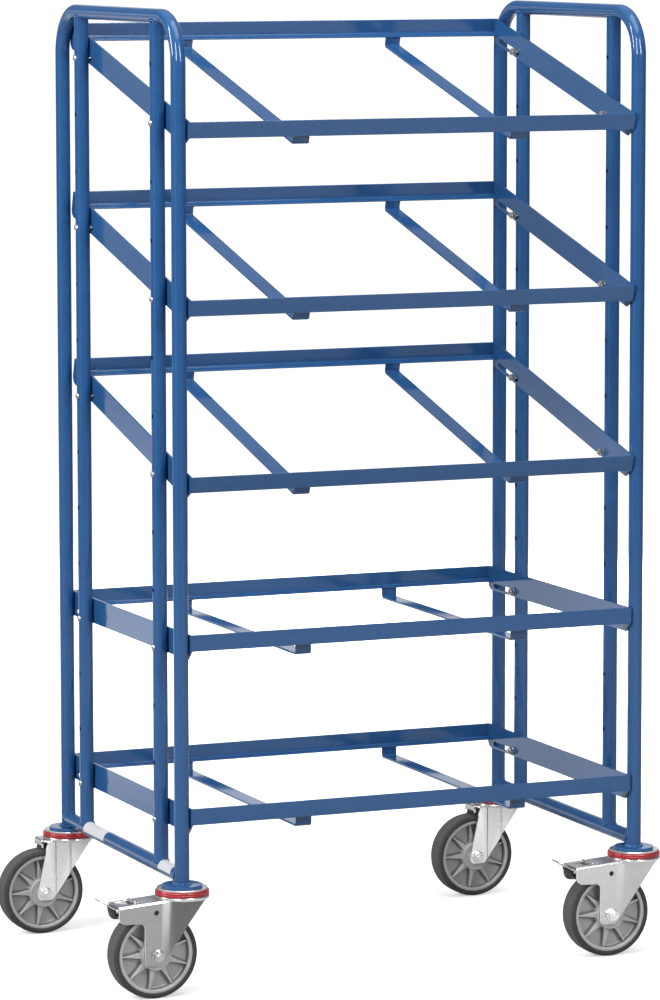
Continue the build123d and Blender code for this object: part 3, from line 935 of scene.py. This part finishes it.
def braked_fork():
    """The front fork: its roof runs back as an arm over the brake, with an opening for the pedal."""
    side_view = rounded([
        (ARM_REAR_X, ARM_TOP_Z), (ARM_REAR_X, 141.5 * MM),
        *mm((-82.5, 139.5), (-82.5, 63), (-51.6, 62), (33, 170.5)),
        (FORK_FRONT_X, 175 * MM), (FORK_FRONT_X, FORK_TOP_Z), (ARM_SLOPE_X, FORK_TOP_Z),
    ], {1: 14, 2: 9, 3: 9, 4: 9}, 8)
    plan_line = rounded([
        (ARM_REAR_X, CHEEK_OUTER), (-52 * MM, CHEEK_OUTER), (-45 * MM, CHEEK_OUTER), (CREASE_X, CHEEK_OUTER),
        *mm((-30, 29.294), (-22, 28.648)), (FORK_FRONT_X, CHEEK_NOSE),
    ], {3: 12}, 4)
    fork = folded_cheeks(side_view, plan_line, braked_roof_z, 5.5 * MM)
    open_rear, open_front, open_half = -124 * MM, -98 * MM, 17 * MM
    for place, normal in (
        ((open_rear, 0, 0), (1, 0, 0)),
        ((open_front, 0, 0), (1, 0, 0)),
        ((0, -open_half, 0), (0, 1, 0)),
        ((0, open_half, 0), (0, 1, 0)),
    ):
        pick(fork, "FACE", is_level)
        slice_at(place, normal)

    def over_opening(face):
        centre = face.calc_center_median()
        return is_level(face) and open_rear < centre.x < open_front and abs(centre.y) < open_half

    pick(fork, "FACE", over_opening)
    bpy.ops.mesh.delete(type="FACE")
    pressed(fork, CHEEK_T, 1.2 * MM, lambda place: place.z > braked_roof_z(place.x) - MM
            or abs(place.y) > half_width_at(plan_line, place.x) - MM)
    cross_drill(fork, BRAKE_PIVOT.x, BRAKE_PIVOT.z, PIVOT_HOLE_R)

    lip_z = braked_roof_z(-97 * MM)
    lip = block(*mm((-96.75, 0, 177.2), (2.5, 34, 5.6)))
    bevelled(lip, 1.0 * MM, 4, both_ends(lambda place: place.z > lip_z))
    clean()
    rivet_head = mm((0, -1), (2.7, -1), (2.7, 0.3), (2.3, 0.9), (1.4, 1.35), (0, 1.5))
    rivets = [
        placed(turned(rivet_head, 24), at(x, -12 * MM, braked_roof_z(x))) for x in (-89.5 * MM, -81.5 * MM)]
    eye_r, inner, outer = 6 * MM, 23.2 * MM, CHEEK_OUTER - 0.5 * CHEEK_T
    eyes = on_pivot([(PIVOT_HOLE_R, inner), (eye_r, inner), (eye_r, outer), (PIVOT_HOLE_R, outer)], 40)
    return joined(fork, lip, *rivets, *eyes, crown_disc())


def pivot_shade_plugs():
    """Painted shade: dark discs at the ends of the brake pivot, set back in their eyes."""
    return joined(*on_pivot(mm((0, 23.4), (4.65, 23.4), (4.65, 27.4), (4.15, 27.9), (0, 27.9)), 32))


def plain_fork():
    """The rear fork: two creased cheeks under a hood with round corners and a rear edge turned down."""
    fold_r, corner_r, lip_r, lip_depth, steps = 3.5 * MM, 9 * MM, 3 * MM, 10.5 * MM, 6
    side_view = rounded([
        (PLAIN_REAR_X, FORK_TOP_Z), (PLAIN_REAR_X, 172 * MM), *mm((-76, 66), (-42.6, 66), (33, 170.5)),
        (FORK_FRONT_X, 175 * MM), (FORK_FRONT_X, FORK_TOP_Z),
    ], {2: 9, 3: 9}, 8)
    plan_line = rounded([
        (HOOD_REAR_X, CHEEK_OUTER), (-38.4 * MM, CHEEK_OUTER),
        *mm((-37.4, 27.2), (-36.2, 27.2), (-35.6, 29.6), (-9, 29.2), (-3, 25.8)), (FORK_FRONT_X, CHEEK_NOSE),
    ], {5: 1.5, 6: 1.5}, 3)
    fork = folded_cheeks(side_view, plan_line, lambda x: FORK_TOP_Z, fold_r)
    pick(fork, "EDGE", both_ends(
        lambda place: abs(place.x - PLAIN_REAR_X) < NEAR and place.z > FORK_TOP_Z - fold_r - NEAR))
    here, half, run = PLAIN_REAR_X, CHEEK_OUTER, PLAIN_REAR_X - HOOD_REAR_X - lip_r
    for step in range(1, steps + 1):
        angle = step * pi / 2 / steps
        next_x, next_half = PLAIN_REAR_X - run * sin(angle), CHEEK_OUTER - corner_r * (1 - cos(angle))
        pull(x=next_x - here)
        widen(next_half / half)
        here, half = next_x, next_half
    fold_over((0, 0, -1), (-1, 0, 0), lip_r)
    pull(z=lip_r - lip_depth)
    pressed(fork, CHEEK_T, 1.2 * MM, lambda place: place.z < 170 * MM and place.x > -90 * MM
            and abs(place.y) > half_width_at(plan_line, place.x) - MM)
    return joined(fork, crown_disc())


def axle_bolt():
    """A hexagon bolt through the hub, its nut and thread end on the front side."""
    nut_t = 10 * MM
    nut = hexagon_block(18 * MM, nut_t, 1.3 * MM)
    flange = turned(mm((0, 0), (11.2, 0), (11.6, 0.5), (11.4, 1.2), (9, 2.6), (0, 2.6)), 56)
    nut = placed(joined(nut, flange), at(z=CHEEK_OUTER))
    nut_side = placed(joined(nut, thread_end(AXLE_R, CHEEK_OUTER + nut_t, 2.5 * MM)), turn(pi / 2, "X"))
    head = placed(hexagon_block(19 * MM, 7.5 * MM, 1.3 * MM), turn(-pi / 2, "X") @ at(z=CHEEK_OUTER))
    shank = rod(AXLE_R, 2 * CHEEK_OUTER, (0, 0, 0), "Y", 40)
    return placed(joined(nut_side, head, shank), at(-TRAIL, 0, WHEEL_R))


def rib_half_width(radius):
    """Ribs are slim at the ring and flare into the hub."""
    return (1.1 + 4.6 * ((RIM_LIP_R - radius) / (35.5 * MM)) ** 1.7) * MM


def smooth_step(low, high, value):
    share = min(max((value - low) / (high - low), 0), 1)
    return share * share * (3 - 2 * share)


def pocket_height(radius, steps_off):
    """How far one of the lines beside a rib lies off the rib's middle, and the wheel face's height there."""
    sector, half = radius * pi / RIB_COUNT, rib_half_width(radius)
    ring_root, root_r = 60.5 * MM, 3 * MM
    web = WEB_HALF + root_r - sqrt(max(root_r**2 - max(radius - ring_root, 0) ** 2, 0))
    lines = [
        (0, RIB_HALF_WIDTH), (half - 0.5 * MM, RIB_HALF_WIDTH), (half, RIB_HALF_WIDTH - 0.4 * MM),
        (half + 0.2 * MM, RIB_HALF_WIDTH - 1.2 * MM), (half + 0.7 * MM, web + 1.5 * MM),
        (half + 1.1 * MM, web + 0.5 * MM), (half + 2.0 * MM, web)]
    last = len(lines) - 1
    offset, height = lines[min(steps_off, last)]
    offset *= min(1, 0.75 * sector / lines[last][0])
    if steps_off > last:
        offset += (sector - offset) * (steps_off - last) / (LINES_PER_RIB // 2 - last)
    depth = smooth_step(HUB_R + 0.2 * MM, HUB_R + 3 * MM, radius)
    return offset, RIB_HALF_WIDTH - (RIB_HALF_WIDTH - height) * depth


WHEEL_PLACE = at(-TRAIL, 0, WHEEL_R) @ turn(pi / 2, "X") @ turn(pi, "Z")


def both_sides(half):
    """A wheel's profile from the half on one side of its middle plane."""
    return half + [(radius, -height) for radius, height in reversed(half)]


def ribbed_rim():
    """A cast wheel centre: hub, nine ribs a side on a thin web, and the ring under the tyre."""
    web_stations = [
        27.8, 28.5, 29.2, 30, 30.8, 31.7, 32.8, 34.2, 36.5, 40, 45, 50, 55, 58.5, 60.5, 61.5, 62.3, 62.9]
    rim = turned(both_sides(mm(
        (6.05, 25.4), (6.6, 25.9), (14.2, 25.9), (14.9, 25.5), (15.2, 24.4), (24.4, 24.4), (24.8, 25.2),
        (25.4, 25.6), (26.8, 25.5), (27.5, 24.7), (27.5, 18.6), *((radius, 8.0) for radius in web_stations),
        (63.3, 10.0), (63.5, 19.4), (63.8, 20.0), (64.5, 20.3), (69.2, 20.3), (69.8, 20.0), (70.0, 19.4),
    )), RIB_COUNT * LINES_PER_RIB)
    step = 2 * pi / (RIB_COUNT * LINES_PER_RIB)

    def cast(place):
        radius = hypot(place.x, place.y)
        if not (HUB_R + 0.1 * MM < radius < RIM_LIP_R - 0.1 * MM and abs(place.z) < 12 * MM):
            return place
        line = round(atan2(place.y, place.x) / step)
        off = (line + LINES_PER_RIB // 2) % LINES_PER_RIB - LINES_PER_RIB // 2
        offset, height = pocket_height(radius, abs(off))
        if radius > RIM_LIP_R - 0.3 * MM:
            height += 0.5 * MM
        around = (line - off) * step + (1 if off > 0 else -1) * offset / radius
        return Vector((radius * cos(around), radius * sin(around), height if place.z > 0 else -height))

    def pocket_shade(place, normal):
        """Painted shade: none on the ribs, hub and ring, a little on the web, most on the walls of the pockets."""
        radius, height = hypot(place.x, place.y), abs(place.z)
        web, walls = 0.14, 0.85
        if radius > RIM_LIP_R + 0.1 * MM or radius < HUB_R + 0.5 * MM or height > 19 * MM:
            return 0.0
        if radius > RIM_LIP_R - MM:
            return walls
        sector = 2 * pi / RIB_COUNT
        beside = abs((atan2(place.y, place.x) / sector + 0.5) % 1 - 0.5) * sector * radius
        foot = rib_half_width(radius) + 1.5 * MM
        on_web = walls + (web - walls) * smooth_step(0, 3.5 * MM, beside - foot)
        return on_web * (1 - smooth_step(WEB_HALF + 7 * MM, RIB_HALF_WIDTH - MM, height))

    shift_points(rim, cast)
    clean()
    carry(rim, "pocket_shade", pocket_shade)
    return placed(rim, WHEEL_PLACE)


def solid_tyre():
    """A solid tyre with round shoulders and a mould seam round the tread."""
    tyre = turned(both_sides(mm(
        (70.0, 20.6), (70.5, 21.5), (71.6, 22.0), (73.4, 22.0), (75.2, 21.7), (76.8, 20.9), (78.1, 19.7),
        (79.0, 18.2), (79.5, 16.4), (79.7, 14.0), (79.78, 8.0), (79.8, 0.7), (80.0, 0.4))), 180)
    carry(tyre, "mould_line", lambda place, normal: hypot(place.x, place.y) - abs(place.z))
    carry(tyre, "tread", lambda place, normal: smooth_step(78.6 * MM, 79.75 * MM, hypot(place.x, place.y)))
    return placed(tyre, WHEEL_PLACE)


def pressed_pedal():
    """A pressed lever: two arms from the pivot, a web between them and a blade bent up for the foot."""
    side_outer, blade_half, eye_r = 25.6 * MM, 20 * MM, 9 * MM
    rear_x, front_x, knee_x = -134.5 * MM, -82 * MM, -100 * MM
    blade_end_x, blade_end_z = -160.6 * MM, 185.2 * MM
    eye_x, eye_z = BRAKE_PIVOT.x, BRAKE_PIVOT.z
    arm_view = rounded([
        (eye_x + eye_r, PEDAL_WEB_TOP), (rear_x, PEDAL_WEB_TOP), (rear_x, 163 * MM), (knee_x, 154 * MM),
        (eye_x, eye_z - eye_r), (eye_x + eye_r, eye_z - eye_r)], {0: 6, 5: 6})
    pedal = sheet_cut([(x, -side_outer, z) for x, z in arm_view])
    take_all()
    slice_at((front_x, 0, 0), (1, 0, 0))
    pick(pedal, "EDGE", both_ends(lambda place: place.z > PEDAL_WEB_TOP - NEAR and place.x < front_x + NEAR))
    pull(y=side_outer - blade_half)
    pull(y=blade_half)
    mirrored(pedal)

    def at_web_rear(place):
        at_edge = abs(place.x - rear_x) < NEAR and place.z > PEDAL_WEB_TOP - NEAR
        return at_edge and abs(place.y) < blade_half + NEAR

    def at_web_side(place):
        return abs(place.z - PEDAL_WEB_TOP) < NEAR and abs(abs(place.y) - side_outer) < NEAR

    pick(pedal, "EDGE", both_ends(at_web_rear))
    pull(x=blade_end_x - rear_x, z=blade_end_z - PEDAL_WEB_TOP)
    pick(pedal, "VERT", lambda vert: vert.co.x < -158 * MM and abs(vert.co.y) > 15 * MM)
    bpy.ops.mesh.bevel(offset=6 * MM, segments=5, affect="VERTICES")
    bevelled(pedal, 3 * MM, 5, both_ends(at_web_rear, folded=True))
    bevelled(pedal, 2.4 * MM, 4, both_ends(at_web_side, folded=True))
    pressed(pedal, PEDAL_T, 0.5 * MM, lambda place: place.z > PEDAL_WEB_TOP - MM / 2
            or abs(place.y) > side_outer - MM / 2, use_even_offset=True)
    cross_drill(pedal, eye_x, eye_z, 6.1 * MM)
    pad = block((-111 * MM, 0, PEDAL_WEB_TOP + 1.4 * MM), (23 * MM, 31 * MM, 4.4 * MM))
    bevelled(pad, 2.0 * MM, 5, both_ends(lambda place: place.z > PEDAL_WEB_TOP + MM))
    clean()
    return joined(pedal, pad)


def rubber_shoe():
    """A rubber block under the pedal's web with a lip that meets the tyre."""
    half = 18 * MM
    side_view = rounded(
        mm((-106, 167), (-106, 154), (-113, 145), (-119, 145), (-128, 154), (-136, 154), (-136, 167)),
        {2: 1.5, 3: 1.5, 5: 7.5})
    shoe = sheet_cut([(x, -half, z) for x, z in side_view])
    pull(y=2 * half)
    clean()
    broken_edges(shoe, 1.2 * MM, 3, 40)
    return shoe


# Brightness of each fork's plating on its cheeks, painted light that differs from caster to caster: at the rear
# and at the nose
CHEEK_PAINTED_LIGHT = {
    "front_left": (0.25, 0.0), "front_right": (0.52, 0.46), "rear_left": (0.95, 0.92), "rear_right": (1.0, 0.97)}


def plating_tone_and_light_of(pattern, corner, foot):
    """Painted light on the plating: bare cut edges and folds get painted highlights; the cheeks get painted shade,
    most of all towards the front.
    """
    def tone_and_painted_light(spot, normal):
        place = spot - foot
        # Axle bolts: painted shade on the front left one, brighter painted plating on the others
        if pattern == "axle_bolt":
            return 0.4 if corner == "front_left" else 0.85
        if not pattern.endswith("fork") or place.z > 170 * MM and abs(place.y) < 25 * MM:
            return 0.42
        if place.z > 174 * MM and (pattern == "plain_fork" or hypot(place.x, place.y) > 42 * MM):
            return 0.62
        if abs(normal.y) < 0.92:
            return 1.0
        cheek, nose = CHEEK_PAINTED_LIGHT[corner]
        return cheek + (nose - cheek) * smooth_step(-52 * MM, -22 * MM, place.x)

    return tone_and_painted_light


# Each caster's pieces: what makes them, their finish, the body they ride on and the node they replace
WHEEL_SET = [
    (axle_bolt, "zinc_plated_steel", "swivel", "axle"),
    (ribbed_rim, "rim_cast_aluminium", "wheel", "wheel_rim"),
    (solid_tyre, "tyre_grey_rubber", "wheel", "tyre"),
]
FRONT_SET = [
    (braked_fork, "zinc_plated_steel", "swivel", "fork"),
    (pivot_shade_plugs, "black_brake_rubber", "swivel"),
    (pressed_pedal, "zinc_plated_steel", "brake", "brake_pedal"),
    (rubber_shoe, "black_brake_rubber", "brake", "brake_shoe"),
]
REAR_SET = [(plain_fork, "zinc_plated_steel", "swivel", "fork")]


def casters():
    feet = [at(*foot) for foot in CASTERS.values()]
    for make, name, finish, node in (
        (head_plate, "round_head_plates", "zinc_plated_steel", "caster_head_plates"),
        (seal_ring, "grooved_seal_rings", "red_seal_plastic", "caster_seal_rings"),
    ):
        pattern = make()
        mounted(repeated(pattern, feet), name, finish, "frame", node)
        discard(pattern)
    patterns = {make: make() for make, *_ in WHEEL_SET + FRONT_SET + REAR_SET}
    for corner, foot in CASTERS.items():
        for make, finish, body, *nodes in WHEEL_SET + (FRONT_SET if corner.startswith("front") else REAR_SET):
            mounted(
                copied(patterns[make], at(*foot)), f"{make.__name__}_{corner}", finish, f"{body}_{corner}",
                *(f"{node}_{corner}" for node in nodes), tone_and_painted_light=plating_tone_and_light_of(make.__name__, corner, foot))
    discard(*patterns.values())


for side in END_FRAMES:
    bent_hoop(side)
    coped_cross_tube(side)
    frame_welds(side)
drilled_uprights()
label_film("label_film_rear", UPRIGHT_Y - 15 * MM, 72 * MM, -75, 105)
label_film("label_film_front", -UPRIGHT_Y - 16 * MM, -UPRIGHT_Y - 78 * MM, -80, 95)
foot_flanges()
shelves()
casters()


# Studio: camera of the photograph, pale floor, soft lamps
CAMERA_PLACE = (-3.42465, -8.188506, 1.929492)
CAMERA_RIGHT = (0.921673, -0.387965, -0.001244)
CAMERA_UP = (0.048436, 0.111885, 0.99254)
CAMERA_BACK = (-0.384931, -0.914858, 0.121913)
CAMERA_LENS = 173.0

# Pale walls as the gloss sees them: direction, where they begin and are full, strength
REAR_LEFT_WALL = ((-0.469, 0.883, 0), 0.955, 0.993, 1.35)
FRONT_RIGHT_WALL = ((0.39, -0.921, 0), 0.45, 1.0, 1.1)
LEFT_WALL = ((-0.978, -0.208, 0), 0.972, 0.995, 1.0)
BACKDROP = ((0.388, 0.922, 0), 0.955, 0.995, 0.8)
REAR_FLOOR = ((0.24, 0.971, 0), 0.93, 0.99, 0.7)
PALE_PATCH = (-0.2, 1.6, 0)


def studio_camera():
    camera = bpy.data.cameras.new("photo_camera")
    camera.lens = CAMERA_LENS
    camera.sensor_width = 36
    camera.sensor_fit = "AUTO"
    camera.clip_end = 500
    holder = bpy.data.objects.new("photo_camera", camera)
    axes = Matrix((CAMERA_RIGHT, CAMERA_UP, CAMERA_BACK)).transposed()
    holder.matrix_world = at(*CAMERA_PLACE) @ axes.to_4x4()
    bpy.context.scene.collection.objects.link(holder)
    bpy.context.scene.camera = holder


def heading(tree, direction):
    return vector_of(tree, "NORMALIZE", vector_of(tree, "MULTIPLY", direction, (1, 1, 0))[0])[0]


def pale_wall(tree, looking, towards, narrow, full, strength):
    """A pale wall of the studio, brightest straight towards it."""
    return ramp(tree, vector_of(tree, "DOT_PRODUCT", looking, towards)["Value"], narrow, full, 0.0, strength)


def studio_floor():
    let_go()
    bpy.ops.mesh.primitive_plane_add(size=300, location=(0, 0, 0))
    floor = bpy.context.object
    floor.name = "studio_floor"
    material, tree, shader = plain_material(
        "studio_floor_white", Roughness=0.9, Specular_IOR_Level=0.0, Emission_Color=(1, 1, 1, 1))
    path = add_node(tree, "LightPath").outputs
    tone = tinted(tree, path["Is Camera Ray"], (0.42, 0.42, 0.42, 1), (0.8, 0.8, 0.8, 1))
    tree.links.new(tone, shader["Base Color"])
    place = object_place(tree)
    away = vector_of(tree, "LENGTH", place)["Value"]
    depth = add_node(tree, "SeparateXYZ", {0: place}).outputs["Y"]
    looking = heading(tree, place)
    far = ramp(tree, away, 1.2, 2.8)
    near_tone = ramp(tree, depth, -0.6, 0.2, 0.57, 0.23)
    walls = sum_of(tree, 0.22, *(pale_wall(tree, looking, *wall) for wall in (REAR_LEFT_WALL, FRONT_RIGHT_WALL)))
    left = product(tree, pale_wall(tree, looking, *LEFT_WALL), ramp(tree, away, 4.0, 12.0, 0.3, 1.5))
    rear = product(tree, pale_wall(tree, looking, *REAR_FLOOR), ramp(tree, away, 4.5, 7.0))
    patch = ramp(tree, vector_of(tree, "DISTANCE", place, PALE_PATCH)["Value"], 0.4, 0.65, 0.75, 0.0)
    far_tone = sum_of(tree, product(tree, walls, ramp(tree, away, 3.0, 13.0, 1.0, 0.27)), left, rear)
    seen_in_gloss = sum_of(tree, blend(tree, far, near_tone, far_tone), patch)
    in_gloss = product(tree, path["Is Glossy Ray"], seen_in_gloss)
    in_view = product(tree, path["Is Camera Ray"], ramp(tree, away, 1.0, 4.0, 0.42, 1.0))
    tree.links.new(sum_of(tree, in_gloss, in_view), shader["Emission Strength"])
    floor.data.materials.append(material)


def studio_world():
    world = bpy.data.worlds.new("studio_white")
    bpy.context.scene.world = world
    world.use_nodes = True
    tree = world.node_tree
    background = tree.nodes["Background"].inputs
    background["Color"].default_value = (1, 1, 1, 1)
    path = add_node(tree, "LightPath").outputs
    ahead = add_node(tree, "TexCoord").outputs["Generated"]
    height = add_node(tree, "SeparateXYZ", {0: ahead}).outputs["Z"]
    looking = heading(tree, ahead)
    walls = sum_of(tree, *(
        pale_wall(tree, looking, *wall) for wall in (REAR_LEFT_WALL, FRONT_RIGHT_WALL, LEFT_WALL)))
    low_walls = product(tree, walls, ramp(tree, height, 0.0, 0.16, 1.0, 0.0))
    backdrop = product(tree, pale_wall(tree, looking, *BACKDROP), ramp(tree, height, 0.25, 0.45, 1.0, 0.0))
    in_gloss = sum_of(tree, 0.2, low_walls, backdrop, ramp(tree, height, 0.4, 0.9, 0.0, 0.9))
    bounced = blend(tree, path["Is Glossy Ray"], 0.15, in_gloss)
    clear = math_of(tree, "MAXIMUM", path["Is Camera Ray"], path["Is Transmission Ray"])
    tree.links.new(blend(tree, clear, bounced, 1.0), background["Strength"])


def soft_lamp(name, place, aim_z, width, height, power):
    lamp = bpy.data.lights.new(name, "AREA")
    lamp.shape = "RECTANGLE"
    lamp.size = width
    lamp.size_y = height
    lamp.energy = power
    holder = bpy.data.objects.new(name, lamp)
    holder.location = place
    holder.rotation_euler = (Vector((0, 0, aim_z)) - Vector(place)).to_track_quat("-Z", "Y").to_euler()
    bpy.context.scene.collection.objects.link(holder)
    return holder


def studio_lamps():
    """Soft light from the left, some from the right, above and behind; three strips show only in the gloss."""
    soft_lamp("left_lamp", (-5.0, -1.8, 3.4), 0.8, 1.6, 2.0, 322).visible_glossy = False
    soft_lamp("right_lamp", (1.4, -4.4, 3.3), 0.8, 1.2, 2.0, 86).visible_glossy = False
    soft_lamp("top_lamp", (0.2, -1.2, 5.2), 0.8, 3.0, 3.0, 160)
    soft_lamp("rear_lamp", (3.3, 4.2, 1.7), 0.9, 1.8, 2.4, 210).visible_glossy = False
    for name, x, y in (("left", -4.3, 1.2), ("middle", -3.3, -3.3), ("right", 1.0, -4.4)):
        soft_lamp(f"{name}_strip", (x, y, 3.4), 3.4, 0.9, 3.0, 300).visible_diffuse = False


studio_camera()
studio_floor()
studio_world()
studio_lamps()

bpy.context.scene.view_settings.view_transform = "Standard"
